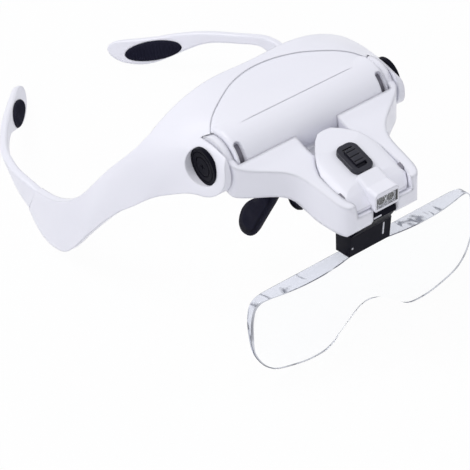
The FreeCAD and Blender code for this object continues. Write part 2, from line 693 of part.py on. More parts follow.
BOX_LOW_SHARES = [(-0.200, -0.870), (-0.380, -0.930), (-0.520, -0.970), (-0.660, -0.995),
                  (-0.800, -1.0), (-1.04, -0.960)]
FRONT_SHARES = [(-0.965, 0.100), (-0.985, -0.260), (-1.0, -0.420), (-1.0, -0.800), (-0.985, -0.900),
                (-0.940, -1.100)]


def side_profile(upper_shares, lower_shares, half):
    """Prism across the object between a smooth upper line and a smooth lower line."""
    upper = [vec(-half, y, z) for y, z in scaled(upper_shares, YOKE_FRONT, YOKE_LOW)]
    lower = [vec(-half, y, z) for y, z in scaled(lower_shares, YOKE_FRONT, YOKE_LOW)]
    edges = [spline(upper), Part.makeLine(upper[-1], lower[-1])]
    edges += [spline(lower), Part.makeLine(lower[0], upper[0])]
    return Part.Face(Part.Wire(Part.sortEdges(edges)[0])).extrude(vec(2 * half, 0, 0))


def yoke_plan():
    """Smooth outline of arms and box from above, as a tall prism."""
    side = [vec(x, y, -2 * YOKE_LOW) for x, y in scaled(YOKE_PLAN_SHARES, YOKE_HALF, YOKE_FRONT)]
    hub_inner = vec(HUB_INNER, 0, -2 * YOKE_LOW)
    corner = vec(YOKE_HALF, 0, -2 * YOKE_LOW)
    middle = [vec(0, side[-1].y, -2 * YOKE_LOW), vec(0, 0, -2 * YOKE_LOW)]
    lines = [side[-1]] + middle + [hub_inner, corner, side[0]]
    edges = [spline(side)] + [Part.makeLine(a, b) for a, b in zip(lines, lines[1:])]
    return both(Part.Face(Part.Wire(edges)).extrude(vec(0, 0, 4 * YOKE_LOW)))


def yoke():
    """Forked arm from the pivot hubs to the open box that holds the light head."""
    arms = side_profile(ARM_TOP_SHARES, ARM_LOW_SHARES, YOKE_HALF)
    box = side_profile(ARM_TOP_SHARES, BOX_LOW_SHARES, BOX_HALF)
    front = [(-2 * YOKE_FRONT, YOKE_LOW)] + scaled(FRONT_SHARES, YOKE_FRONT, YOKE_LOW)
    front.append((-2 * YOKE_FRONT, front[-1][1]))
    ahead = prism_x(front, -YOKE_HALF, YOKE_HALF)
    body = arms.fuse(box).common(yoke_plan()).cut(ahead)
    hub = rod_x(HUB_INNER, HUB_OUTER, 0, 0, HUB_RADIUS)
    body = body.cut(rod_x(-HUB_INNER, HUB_INNER, 0, 0, DRUM_RADIUS + SOFT_GAP))
    body = fuse_all([body, both(hub)])
    return cut_all(body, yoke_cutters())


def yoke_cutters():
    pocket = head_prism(-POCKET_GAP, -POCKET_FLOOR, YOKE_LOW)
    rear = block(-REAR_HALF, REAR_HALF, -REAR_FRONT, 0, -POCKET_FLOOR, YOKE_LOW)
    front = -YOKE_FRONT - OVERRUN
    bosses = both(block(BOSS_INNER, HEAD_HALF, -HEAD_FRONT - POCKET_GAP, -BOSS_BACK, -BOSS_LOW, -BOSS_TOP))
    pocket = pocket.cut(bosses)
    brow = block(-BOSS_OUTER, BOSS_OUTER, front, -BOSS_BACK, -BOSS_TOP, YOKE_LOW)
    throat = block(-BOSS_INNER, BOSS_INNER, front, -CLIP_RELIEF_BACK, -2 * YOKE_LOW, YOKE_LOW)
    relief = block(-CLIP_RELIEF_HALF, CLIP_RELIEF_HALF, front, -CLIP_RELIEF_BACK,
                   -2 * YOKE_LOW, -BOSS_LOW)
    doorway = block(-DOORWAY_HALF, DOORWAY_HALF, -DOORWAY_FRONT, -DOORWAY_BACK, -2 * YOKE_LOW, 0)
    pin_hole = both(rod_x(BOSS_INNER, BOSS_INNER + HINGE_REACH, -HINGE_FRONT, -HINGE_DROP,
                          HINGE_RADIUS + RUN_GAP))
    bore = both(rod_x(HUB_INNER, HUB_OUTER, 0, 0, PIN_RADIUS + RUN_GAP))
    return [pocket, rear, brow, throat, relief, doorway, pin_hole, bore]


# Light head from above as shares of HEAD_HALF and HEAD_FRONT
HEAD_PLAN_SHARES = [(0, -0.312), (0.210, -0.318), (0.435, -0.370), (0.650, -0.445), (0.860, -0.540),
                    (0.985, -0.630), (1.0, -0.720), (0.993, -0.870), (0.960, -0.930),
                    (0.880, -0.978), (0.780, -0.995), (0, -1.0)]


def head_plan(inset):
    """Outline face of the light head, set in by inset."""
    half = scaled(HEAD_PLAN_SHARES, HEAD_HALF, HEAD_FRONT)
    ring = half + [(-x, y) for x, y in half[-2:0:-1]]
    face = Part.Face(polygon([vec(x, y, 0) for x, y in ring]))
    if inset:
        face = face.makeOffset2D(-inset)
    return face


def head_prism(inset, z0, z1):
    face = head_plan(inset)
    face.translate(vec(0, 0, z0))
    return face.extrude(vec(0, 0, z1 - z0))


def top_profile(inset):
    """Side view of the space under the cover's top, set in by inset."""
    low = 2 * YOKE_LOW
    points = [(-HEAD_BACK + OVERRUN, TOP_LEVEL), (-HEAD_BACK, TOP_LEVEL), (-SLOPE_BACK, SLOPE_TOP),
              (-SLOPE_FRONT, -SLOPE_LOW), (-BROW_BACK, -BROW_TOP), (-BROW_FRONT, -HEAD_SPLIT),
              (-HEAD_FRONT, -HEAD_SPLIT)]
    points = [(y, z - inset) for y, z in points]
    points.append((-HEAD_FRONT, -low))
    points.append((-HEAD_BACK + OVERRUN, -low))
    return prism_x(points, -YOKE_HALF, YOKE_HALF)


# Cross-section of the cover's crown, as shares of HEAD_HALF and CROWN_DROP
CROWN_SHARES = [(0, 0), (0.35, 0), (0.62, -0.08), (0.82, -0.33), (0.94, -0.70), (1.02, -1.10)]


def crown(inset):
    """Space under a crowned surface that follows the sloping top, set in by inset."""
    top = [vec(x, 0, z + switch_level() - inset) for x, z in scaled(CROWN_SHARES, HEAD_HALF, CROWN_DROP)]
    low = -2 * YOKE_LOW
    lines = [top[-1], vec(top[-1].x, 0, low), vec(0, 0, low), top[0]]
    edges = [spline(top)] + [Part.makeLine(a, b) for a, b in zip(lines, lines[1:])]
    face = Part.Face(Part.Wire(edges))
    rise = (SLOPE_TOP + SLOPE_LOW) / (SLOPE_FRONT - SLOPE_BACK)
    face.translate(vec(0, 0, SWITCH_BACK * rise))
    return both(face.extrude(vec(0, -2 * YOKE_FRONT, -2 * YOKE_FRONT * rise)))


def cover_floor(z0):
    """Space under the cover: the base behind, and the hinge bosses in front."""
    behind = block(-YOKE_HALF, YOKE_HALF, -BASE_FRONT, 0, z0, -HEAD_SPLIT)
    ahead = block(-YOKE_HALF, YOKE_HALF, -YOKE_FRONT, -BASE_FRONT, z0, -BROW_LOW)
    return behind.fuse(ahead)


def nose():
    """Snout in front of the switch."""
    points = [(-NOSE_BACK, NOSE_CREST), (-NOSE_BEND, -NOSE_TOP), (-NOSE_FRONT, -NOSE_TOP),
              (-NOSE_FRONT, -NOSE_LOW), (-NOSE_BACK, -NOSE_LOW)]
    snout = prism_x(points, -NOSE_HALF, NOSE_HALF)
    rims = [e for e in snout.Edges if e.BoundBox.XLength < RUN_GAP and e.BoundBox.ZMin > -WINDOW_TOP]
    return snout.makeFillet(NOSE_ROUND, rims)


def light_head_cover():
    low = -NOSE_LOW
    body = head_prism(0, low, YOKE_LOW).common(top_profile(0)).common(crown(0))
    cavity = head_prism(HEAD_WALL, low, YOKE_LOW).common(top_profile(HEAD_WALL)).common(crown(HEAD_WALL))
    ceiling = block(-YOKE_HALF, YOKE_HALF, -YOKE_FRONT, 0, HEAD_WALL - BROW_LOW, YOKE_LOW)
    back = block(-YOKE_HALF, YOKE_HALF, -BASE_FRONT, 0, low, YOKE_LOW)
    cavity = cavity.common(ceiling.fuse(back))
    body = body.cut(cover_floor(low - OVERRUN)).cut(cavity)
    half = LED_SPACING / 2 + REFLECTOR_FRONT_RADIUS + 2 * RUN_GAP
    light_half = REFLECTOR_FRONT_RADIUS + 2 * RUN_GAP
    tunnel = block(-half, half, -NOSE_FRONT - OVERRUN, -BASE_FRONT,
                   -LED_DROP - light_half, light_half - LED_DROP)
    seat = block(-WINDOW_HALF - SNUG_GAP, WINDOW_HALF + SNUG_GAP,
                 -NOSE_FRONT - OVERRUN, WINDOW_THICK - NOSE_FRONT,
                 -WINDOW_LOW - SNUG_GAP, SNUG_GAP - WINDOW_TOP)
    snout = nose().cut(cavity).cut(block(-YOKE_HALF, YOKE_HALF, -BASE_FRONT, 0, low, -HEAD_SPLIT))
    body = fuse_all([body, snout])
    stem_hole = tilted(block(-STEM_SIZE / 2 - SOFT_GAP, STEM_SIZE / 2 + SOFT_GAP,
                             -SWITCH_BACK - STEM_SIZE / 2 - SLIDE_TRAVEL - SOFT_GAP,
                             -SWITCH_BACK + STEM_SIZE / 2 + SLIDE_TRAVEL + SOFT_GAP,
                             switch_level() - 2 * STEM_LENGTH, switch_level() + STEM_LENGTH),
                       -SWITCH_BACK, switch_level(), slope_angle())
    return cut_all(body, [tunnel, seat, stem_hole])


def slope_angle():
    return math.degrees(math.atan2(SLOPE_TOP + SLOPE_LOW, SLOPE_FRONT - SLOPE_BACK))


def switch_level():
    """Height of the sloping top at the middle of the switch."""
    share = (SWITCH_BACK - SLOPE_BACK) / (SLOPE_FRONT - SLOPE_BACK)
    return SLOPE_TOP - share * (SLOPE_TOP + SLOPE_LOW)


def door_prism(gap, z0, z1):
    """Outline of the battery door, larger by gap."""
    half = [(0, -DOOR_BACK + gap), (DOOR_TAPER_HALF + gap, -DOOR_BACK + gap),
            (DOOR_HALF + gap, -DOOR_TAPER_BACK), (DOOR_HALF + gap, -DOOR_FRONT - gap),
            (0, -DOOR_FRONT - gap)]
    return both(prism_z(half, z0, z1))


def light_head_base():
    limit = block(-YOKE_HALF, YOKE_HALF, -BASE_FRONT, 0, -HEAD_FLOOR, -HEAD_SPLIT)
    body = head_prism(0, -HEAD_FLOOR, -HEAD_SPLIT).common(limit)
    room = block(-YOKE_HALF, YOKE_HALF, HEAD_WALL - BASE_FRONT, 0, DOOR_THICK - HEAD_FLOOR, 0)
    body = body.cut(head_prism(HEAD_WALL, DOOR_THICK - HEAD_FLOOR, 0).common(room))
    posts = []
    for back in POST_BACKS:
        post = block(POST_INNER, POST_OUTER, -back - POST_LENGTH, -back, -HEAD_FLOOR, -BOARD_LOW)
        posts.append(both(post))
    body = fuse_all([body] + posts)
    return body.cut(door_prism(SNUG_GAP, -HEAD_FLOOR - OVERRUN, DOOR_THICK - HEAD_FLOOR + OVERRUN))


def battery_door():
    door = door_prism(0, -HEAD_FLOOR, DOOR_THICK - HEAD_FLOOR)
    half = DOOR_SLOT_LENGTH / 2
    bar = DOOR_SLOT_WIDTH / 2
    middle = (DOOR_BACK + DOOR_FRONT) / 2
    slot = block(-half, half, -middle - bar, bar - middle, -HEAD_FLOOR, DOOR_SLOT_DEPTH - HEAD_FLOOR)
    return door.cut(slot)


def coin_cell(level):
    """Cell with a narrower lower face, standing at the given height."""
    can = rod_z(level + CELL_STEP, level + CELL_THICK, 0, -CELL_BACK, CELL_RADIUS)
    return can.fuse(rod_z(level, level + CELL_STEP, 0, -CELL_BACK, CELL_RADIUS - CELL_THICK / 2))


def coin_cells():
    return [coin_cell(i * CELL_THICK - CELL_LOW) for i in (0, 1)]


def battery_contacts():
    """Leaf above the cells and strip in front of them, both up to the circuit board."""
    top = 2 * CELL_THICK - CELL_LOW
    leaf = block(-CONTACT_HALF, CONTACT_HALF, -CELL_BACK - CONTACT_LENGTH / 2,
                 -CELL_BACK + CONTACT_LENGTH / 2, top, top + CONTACT_THICK)
    leg = block(-CONTACT_HALF, CONTACT_HALF, -CELL_BACK, CONTACT_THICK - CELL_BACK, top, -BOARD_LOW)
    face = -CELL_BACK - CELL_RADIUS - RUN_GAP
    strip = block(-CONTACT_HALF, CONTACT_HALF, face - CONTACT_THICK, face, -CELL_LOW, -BOARD_LOW)
    return [leaf.fuse(leg), strip]


def circuit_board():
    low = -BOARD_LOW
    room = head_prism(HEAD_WALL + SNUG_GAP, low, low + BOARD_THICK)
    return room.common(block(-BOARD_HALF, BOARD_HALF, -BOARD_FRONT, -BOARD_BACK, low, low + BOARD_THICK))


def switch_body():
    low = BOARD_THICK - BOARD_LOW
    half = SWITCH_LENGTH / 2
    return block(-SWITCH_HALF, SWITCH_HALF, -SWITCH_BACK - half, half - SWITCH_BACK,
                 low, low + SWITCH_HEIGHT)


def led_lamp(x):
    """Round lamp facing forward, with two leads bent up to the circuit board."""
    dome = LED_TIP - LED_RADIUS
    lamp = rod_y(-dome, LED_LENGTH - LED_TIP, x, -LED_DROP, LED_RADIUS)
    ball = Part.makeSphere(LED_RADIUS, vec(x, -dome, -LED_DROP))
    back = LED_LENGTH - LED_TIP
    half = LEAD_WIDTH / 2
    leads = []
    for side in (-1, 1):
        lead_x = x + side * LEAD_SPACING / 2
        leads.append(block(lead_x - half, lead_x + half, back, back + LEAD_REACH,
                           -LED_DROP - half, half - LED_DROP))
        leads.append(block(lead_x - half, lead_x + half, back + LEAD_REACH - LEAD_WIDTH,
                           back + LEAD_REACH, -LED_DROP - half, -BOARD_LOW))
    return fuse_all([lamp, ball] + leads)


def reflector(x):
    length = REFLECTOR_FRONT - REFLECTOR_BACK
    place = vec(x, -REFLECTOR_BACK, -LED_DROP)
    toward = vec(0, -1, 0)
    cup = Part.makeCone(REFLECTOR_BACK_RADIUS, REFLECTOR_FRONT_RADIUS, length, place, toward)
    hollow = Part.makeCone(REFLECTOR_BACK_RADIUS - REFLECTOR_WALL,
                           REFLECTOR_FRONT_RADIUS - REFLECTOR_WALL, length, place, toward)
    return cup.cut(hollow)


def led_window():
    return block(-WINDOW_HALF, WINDOW_HALF, -NOSE_FRONT, WINDOW_THICK - NOSE_FRONT,
                 -WINDOW_LOW, -WINDOW_TOP)


def on_slope(shape):
    """Shape drawn over the switch's centre at height 0, laid on the sloping top."""
    moved = shape.copy()
    moved.translate(vec(0, -SWITCH_BACK, switch_level()))
    return tilted(moved, -SWITCH_BACK, switch_level(), slope_angle())


def centred(length_y, width_x, z0, z1):
    return block(-width_x / 2, width_x / 2, -length_y / 2, length_y / 2, z0, z1)


def switch_bezel():
    bezel = centred(BEZEL_LENGTH, BEZEL_WIDTH, 0, BEZEL_THICK)
    uprights = [edge for edge in bezel.Edges if edge.BoundBox.ZLength > BEZEL_LIP]
    bezel = bezel.makeFillet(BEZEL_CORNER, uprights)
    bezel = bezel.makeFillet(BEZEL_LIP / 2, [e for e in bezel.Edges if e.BoundBox.ZMin > BEZEL_LIP])
    reach = 2 * SLIDE_TRAVEL + 2 * RUN_GAP
    room = centred(FLANGE_LENGTH + reach, FLANGE_WIDTH + 2 * RUN_GAP, 0, BEZEL_LIP)
    mouth = centred(KNOB_LENGTH + reach, KNOB_WIDTH + 2 * RUN_GAP, 0, 2 * BEZEL_THICK)
    return on_slope(cut_all(bezel, [room, mouth]))


def switch_slider():
    flange = centred(FLANGE_LENGTH, FLANGE_WIDTH, RUN_GAP, BEZEL_LIP - RUN_GAP)
    knob = centred(KNOB_LENGTH, KNOB_WIDTH, RUN_GAP, BEZEL_THICK + KNOB_PROUD)
    stem = centred(STEM_SIZE, STEM_SIZE, -STEM_LENGTH, BEZEL_LIP)
    slider = fuse_all([flange, knob, stem])
    top = BEZEL_THICK + KNOB_PROUD
    for i in range(KNOB_RIBS):
        y = (i - (KNOB_RIBS - 1) / 2) * KNOB_LENGTH / KNOB_RIBS
        groove = block(-KNOB_WIDTH, KNOB_WIDTH, y - KNOB_RIB / 2, y + KNOB_RIB / 2, top - KNOB_RIB, top)
        slider = slider.cut(groove)
    return on_slope(slider)


# Clip from the side: its tongue about the hinge as shares of KNUCKLE_RADIUS, then its body from its
# rear face and the top of the lens, as shares of CLIP_DEPTH and CLIP_HEIGHT.
TONGUE_SIDE_SHARES = [(-0.48, -2.08), (-0.88, -1.36), (-1.40, -0.64), (-1.28, 0), (-0.96, 0.72),
                      (-0.48, 1.0), (0.48, 1.0), (1.0, 0), (1.0, -2.32)]
BODY_SIDE_SHARES = [(-1.152, 1.0), (-0.152, 1.0), (0, 0.927), (0, -0.16), (-0.975, -0.16),
                    (-1.152, 0.707), (-1.494, 0.982), (-1.658, 1.067)]
# Clip from the front: half widths of tongue and body at these heights
TONGUE_LEVEL_SHARES = (2.0, -1.88)
BODY_FRONT_SHARES = [(0.65, 1.091), (1.0, 0.7256), (1.0, -0.2)]


def beside_lens(shape):
    """Shape drawn with the lens's flat back at y = 0 and its top edge at z = 0, put in place."""
    moved = shape.copy()
    moved.translate(vec(0, -LENS_BACK, -LENS_DROP))
    return tilted(moved, -LENS_BACK, -LENS_DROP, -LENS_TILT)


def clip_side():
    tongue_side = [(y - HINGE_FRONT, z - HINGE_DROP)
                   for y, z in scaled(TONGUE_SIDE_SHARES, KNUCKLE_RADIUS, KNUCKLE_RADIUS)]
    body_side = [(y + CLIP_BEHIND - LENS_BACK, z - LENS_DROP)
                 for y, z in scaled(BODY_SIDE_SHARES, CLIP_DEPTH, CLIP_HEIGHT)]
    return prism_x(tongue_side + body_side, -CLIP_HALF, CLIP_HALF)


def clip_front():
    half = [(KNUCKLE_HALF, share * KNUCKLE_RADIUS - HINGE_DROP) for share in TONGUE_LEVEL_SHARES]
    half += [(x, z - LENS_DROP) for x, z in scaled(BODY_FRONT_SHARES, CLIP_HALF, CLIP_HEIGHT)]
    ring = [(0, half[0][1])] + half + [(0, half[-1][1])]
    face = Part.Face(polygon([vec(x, 0, z) for x, z in ring]))
    return both(face.extrude(vec(0, -2 * HINGE_FRONT, 0)))


def lens_clip():
    """Clip with the hinge tongue on top and the socket for the lens's tab below."""
    clip = clip_side().common(clip_front())
    under = block(-2 * CLIP_HALF, 2 * CLIP_HALF, -HINGE_FRONT, HINGE_FRONT, -CLIP_HEIGHT, SOFT_GAP)
    socket = block(-TAB_HALF - SNUG_GAP, TAB_HALF + SNUG_GAP, -TAB_AHEAD - TAB_THICK - SNUG_GAP,
                   SNUG_GAP - TAB_AHEAD, 0, TAB_HEIGHT + SNUG_GAP)
    face = CLIP_BEHIND - LENS_BACK - CLIP_DEPTH
    low = CLIP_SLOT_LOW - LENS_DROP
    slot = block(CLIP_SLOT_OUT, CLIP_SLOT_OUT + CLIP_SLOT, face - CLIP_DEPTH, face - CLIP_SLOT / 2,
                 low, low + CLIP_SLOT_HEIGHT)
    pin_hole = both(rod_x(0, KNUCKLE_HALF, -HINGE_FRONT, -HINGE_DROP, HINGE_RADIUS))
    return cut_all(clip, [beside_lens(under), beside_lens(socket), slot, pin_hole])


def hinge_pin():
    length = BOSS_INNER + HINGE_REACH - SOFT_GAP
    return rod_x(-length, length, -HINGE_FRONT, -HINGE_DROP, HINGE_RADIUS)


# Half outline of the lens as shares of LENS_HALF and LENS_HEIGHT
LENS_TOP_SHARES = [(0, 0), (0.790, 0)]
LENS_EDGE_SHARES = [(0.790, 0), (0.860, -0.002), (0.919, -0.018), (0.958, -0.062), (0.980, -0.130),
                    (0.997, -0.250), (1.0, -0.440), (0.991, -0.575), (0.962, -0.690),
                    (0.914, -0.796), (0.848, -0.878), (0.785, -0.920), (0.699, -0.955),
                    (0.582, -0.990), (0.480, -1.0), (0.389, -0.990), (0.323, -0.950),
                    (0.280, -0.895), (0.194, -0.800), (0.100, -0.712), (0, -0.685)]


def lens_outline(thickness):
    top = [vec(x, 0, z) for x, z in scaled(LENS_TOP_SHARES, LENS_HALF, LENS_HEIGHT)]
    edge = [vec(x, 0, z) for x, z in scaled(LENS_EDGE_SHARES, LENS_HALF, LENS_HEIGHT)]
    wire = Part.Wire([Part.makeLine(top[0], top[1]), spline(edge), Part.makeLine(edge[-1], top[0])])
    return Part.Face(wire).extrude(vec(0, -thickness, 0))


def binocular_lens():
    """One clear moulding with a flat back and a domed front on each side."""
    depth = LENS_RADIUS - LENS_THICK
    dome = Part.makeSphere(LENS_RADIUS, vec(LENS_CENTRE, depth, -LENS_CENTRE_DROP))
    half = lens_outline(2 * LENS_THICK).common(dome).fuse(lens_outline(LENS_RIM))
    tab = block(-TAB_HALF, TAB_HALF, -TAB_AHEAD - TAB_THICK, -TAB_AHEAD, -TAB_HEIGHT / 2, TAB_HEIGHT)
    return beside_lens(fuse_all([half, mirror(half), tab]))


def nose_side(shape):
    """Shape drawn about the middle of a nose pad's inner face, put in place on the +X side."""
    moved = shape.copy()
    moved.rotate(vec(0, 0, 0), vec(0, 1, 0), -NOSE_PAD_LEAN)
    moved.rotate(vec(0, 0, 0), vec(1, 0, 0), NOSE_PAD_TILT)
    moved.translate(vec(NOSE_PAD_OUT, NOSE_PAD_BACK, -NOSE_PAD_DROP))
    return moved


def nose_prong(gap):
    """Flat prong of the bracket in the middle of a nose pad's thickness, or the slot for it."""
    middle = NOSE_PAD_THICK / 2
    thick = BRACKET_THICK / 2 + gap
    half = BRACKET_WIDTH / 2 + gap
    return nose_side(block(middle - thick, middle + thick, -half, half, -BAR_DOWN - gap, BAR_UP))


# Leaf outline of a nose pad, as shares of NOSE_PAD_WIDTH from its front edge and of NOSE_PAD_LENGTH
NOSE_PAD_SHARES = [(0.33, 0.516), (0.054, 0.468), (0, 0.342), (0, 0.170), (0, 0), (0, -0.150),
                   (0, -0.276), (0.054, -0.363), (0.199, -0.432), (0.416, -0.476), (0.597, -0.482),
                   (0.778, -0.445), (0.914, -0.368), (0.995, -0.250), (1.0, -0.158), (0.941, -0.042),
                   (0.733, 0.121), (0.579, 0.263), (0.534, 0.408), (0.460, 0.489)]


def leaf_outline(x, inset):
    """Outline of a nose pad at one depth, drawn in towards its middle by inset."""
    points = []
    for y, z in scaled(NOSE_PAD_SHARES, NOSE_PAD_WIDTH, NOSE_PAD_LENGTH):
        points.append(vec(x, y * (1 - 2 * inset / NOSE_PAD_WIDTH) + inset - NOSE_PAD_AHEAD,
                          z * (1 - 2 * inset / NOSE_PAD_LENGTH)))
    return closed_spline(points)


def nose_pad():
    """Leaf-shaped rubber pad on the +X side, slipped over its prong."""
    sections = [leaf_outline(share * NOSE_PAD_THICK, inset_share * NOSE_PAD_ROUND)
                for share, inset_share in NOSE_PAD_DEPTH_SHARES]
    return nose_side(Part.makeLoft(sections, True, False)).cut(nose_prong(0))


# Sections through a nose pad, as shares of NOSE_PAD_THICK and of NOSE_PAD_ROUND drawn in
NOSE_PAD_DEPTH_SHARES = [(0, 1.0), (0.10, 0.42), (0.28, 0.05), (0.5, 0), (0.72, 0.05), (0.90, 0.42),
                         (1.0, 1.0)]


def nose_pad_bracket():
    bar = nose_prong(0)
    depth = BRACKET_DEPTH / 2
    saddle = block(-BRACKET_HALF, BRACKET_HALF, -depth, depth, -BRACKET_DROP, -DRUM_RADIUS / 2)
    saddle = fuse_all([saddle, bar, mirror(bar)])
    return saddle.cut(rod_x(-DRUM_HALF, DRUM_HALF, 0, 0, DRUM_RADIUS))


def export_pair(name, shape):
    export("left_" + name, shape)
    export("right_" + name, mirror(shape))


export("main_frame", main_frame())
export("drum_rear_cover", rear_cover())
export("cover_screws", Part.makeCompound([cover_screw(x, z) for x, z in SCREW_PLACES]))
export_pair("temple_tip", temple_tip())
export_pair("temple_pad", temple_pad())
export_pair("pivot_cap", pivot_cap())
export_pair("pivot_pin", pivot_pin())
export("friction_washers", Part.makeCompound([friction_washer(), mirror(friction_washer())]))
export("yoke", yoke())
export("light_head_cover", light_head_cover())
export("light_head_base", light_head_base())
export("battery_door", battery_door())
export("coin_cells", Part.makeCompound(coin_cells()))
export("battery_contacts", Part.makeCompound(battery_contacts()))
export("circuit_board", circuit_board())
export("switch_body", switch_body())
export("switch_bezel", switch_bezel())
export("switch_slider", switch_slider())
export("led_lamps", Part.makeCompound([led_lamp(side * LED_SPACING / 2) for side in (-1, 1)]))
export("led_reflectors", Part.makeCompound([reflector(side * LED_SPACING / 2) for side in (-1, 1)]))
export("led_window", led_window())
export("lens_clip", lens_clip())
export("clip_hinge_pin", hinge_pin())
export("binocular_lens", binocular_lens())
export("nose_pad_bracket", nose_pad_bracket())
export_pair("nose_pad", nose_pad())
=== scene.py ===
import json
import math

import bmesh
import bpy
from mathutils import Matrix, Vector
from mathutils.bvhtree import BVHTree


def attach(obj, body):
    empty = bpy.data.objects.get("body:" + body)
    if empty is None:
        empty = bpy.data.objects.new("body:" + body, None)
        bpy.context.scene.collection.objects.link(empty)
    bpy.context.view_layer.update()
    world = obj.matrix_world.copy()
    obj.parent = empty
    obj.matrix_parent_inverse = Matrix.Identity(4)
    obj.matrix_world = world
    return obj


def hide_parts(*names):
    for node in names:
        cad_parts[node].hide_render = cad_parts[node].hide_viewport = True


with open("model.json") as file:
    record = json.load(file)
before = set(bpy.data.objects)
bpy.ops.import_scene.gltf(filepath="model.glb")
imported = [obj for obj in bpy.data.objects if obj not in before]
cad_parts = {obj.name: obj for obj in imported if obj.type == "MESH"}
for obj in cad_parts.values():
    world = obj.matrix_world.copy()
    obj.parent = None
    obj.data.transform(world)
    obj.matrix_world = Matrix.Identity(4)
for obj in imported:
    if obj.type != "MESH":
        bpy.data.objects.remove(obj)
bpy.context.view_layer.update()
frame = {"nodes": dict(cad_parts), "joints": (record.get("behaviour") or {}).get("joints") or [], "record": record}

# All lengths are in metres, in the row frame.
MM = 0.001
SIDES = ((1, "left"), (-1, "right"))

# Values that the materials share
NOISE_LOW = 0.3
NOISE_HIGH = 0.7
BEVEL_SAMPLES = 6
DRIFT_SCALE = 22.0
WEAR_SCALE = 160.0
GRAIN_STRENGTH = 0.25
METAL_DRIFT_SCALE = 300.0
METAL_GRAIN_SCALE = 2600.0
METAL_GRAIN_STRENGTH = 0.15
METAL_GRAIN_DEPTH = 0.02 * MM
METAL_EDGE = 0.1 * MM
CLEAR_DRIFT_SCALE = 12.0
POLISH_SCALE = 420.0
POLISH_SPREAD = 3           # the dullest spots are this many times as rough as the clearest
ACRYLIC_IOR = 1.49
THIN_IOR = 1.3              # low, so that the lens bends what is behind it only a little
# Stretch, gloss and clearness of the painted reflections on the rim of the clear moulding
REFLECTION_STRETCH = (1.0, 0.45, 1.0)
EDGE_ROUGH = (0.04, 0.12)
EDGE_CLEAR = 0.7


def new_material(name):
    material = bpy.data.materials.new(name)
    material.use_nodes = True
    tree = material.node_tree
    return material, tree, tree.nodes["Principled BSDF"]


def node(tree, kind, **inputs):
    made = tree.nodes.new(kind)
    for key, value in inputs.items():
        made.inputs[key.replace("_", " ")].default_value = value
    return made


def noise(tree, scale, detail=3.0, roughness=0.5):
    coords = tree.nodes.new("ShaderNodeTexCoord")
    made = node(tree, "ShaderNodeTexNoise", Scale=scale, Detail=detail, Roughness=roughness)
    tree.links.new(coords.outputs["Object"], made.inputs["Vector"])
    return made


def ramp(tree, source, low, high, start=NOISE_LOW, end=NOISE_HIGH):
    made = tree.nodes.new("ShaderNodeValToRGB")
    made.color_ramp.elements[0].position = start
    made.color_ramp.elements[1].position = end
    made.color_ramp.elements[0].color = low
    made.color_ramp.elements[1].color = high
    tree.links.new(source, made.inputs["Fac"])
    return made


def spread(tree, source, low, high):
    made = node(tree, "ShaderNodeMapRange", From_Min=NOISE_LOW, From_Max=NOISE_HIGH, To_Min=low,
                To_Max=high)
    tree.links.new(source, made.inputs["Value"])
    return made.outputs["Result"]


def soft_edges(tree, bsdf, height_source, strength, distance, radius):
    """Fine surface grain, with edges that catch light as a moulding's rounded ones do."""
    edge = tree.nodes.new("ShaderNodeBevel")
    edge.samples = BEVEL_SAMPLES
    edge.inputs["Radius"].default_value = radius
    bump = node(tree, "ShaderNodeBump", Strength=strength, Distance=distance)
    tree.links.new(height_source, bump.inputs["Height"])
    tree.links.new(edge.outputs["Normal"], bump.inputs["Normal"])
    tree.links.new(bump.outputs["Normal"], bsdf.inputs["Normal"])


def plastic(name, low, high, rough, grain, depth, edge, specular=0.5):
    """Moulded plastic: slow colour drift, uneven gloss, a fine grain and rounded edges."""
    material, tree, bsdf = new_material(name)
    drift = noise(tree, DRIFT_SCALE, detail=2.0)
    colour = ramp(tree, drift.outputs["Fac"], low, high)
    tree.links.new(colour.outputs["Color"], bsdf.inputs["Base Color"])
    wear = noise(tree, WEAR_SCALE, detail=4.0, roughness=0.6)
    tree.links.new(spread(tree, wear.outputs["Fac"], *rough), bsdf.inputs["Roughness"])
    fine = noise(tree, grain, detail=2.0)
    soft_edges(tree, bsdf, fine.outputs["Fac"], GRAIN_STRENGTH, depth, edge)
    bsdf.inputs["IOR"].default_value = ACRYLIC_IOR
    bsdf.inputs["Specular IOR Level"].default_value = specular
    return material


def metal(name, low, high, rough):
    """Bright metal with a slow drift of colour and gloss, and a fine grain."""
    material, tree, bsdf = new_material(name)
    drift = noise(tree, METAL_DRIFT_SCALE)
    colour = ramp(tree, drift.outputs["Fac"], low, high)
    tree.links.new(colour.outputs["Color"], bsdf.inputs["Base Color"])
    tree.links.new(spread(tree, drift.outputs["Fac"], *rough), bsdf.inputs["Roughness"])
    bsdf.inputs["Metallic"].default_value = 1.0
    fine = noise(tree, METAL_GRAIN_SCALE, detail=2.0)
    soft_edges(tree, bsdf, fine.outputs["Fac"], METAL_GRAIN_STRENGTH, METAL_GRAIN_DEPTH, METAL_EDGE)
    return material


def clear(name, low, high, roughness, ior=ACRYLIC_IOR):
    """Clear plastic with a faint cool tint and tiny polish marks."""
    material, tree, bsdf = new_material(name)
    drift = noise(tree, CLEAR_DRIFT_SCALE, detail=2.0)
    colour = ramp(tree, drift.outputs["Fac"], low, high)
    tree.links.new(colour.outputs["Color"], bsdf.inputs["Base Color"])
    polish = noise(tree, POLISH_SCALE, detail=5.0, roughness=0.7)
    tree.links.new(spread(tree, polish.outputs["Fac"], roughness, POLISH_SPREAD * roughness),
                   bsdf.inputs["Roughness"])
    bsdf.inputs["Transmission Weight"].default_value = 1.0
    bsdf.inputs["IOR"].default_value = ior
    return material


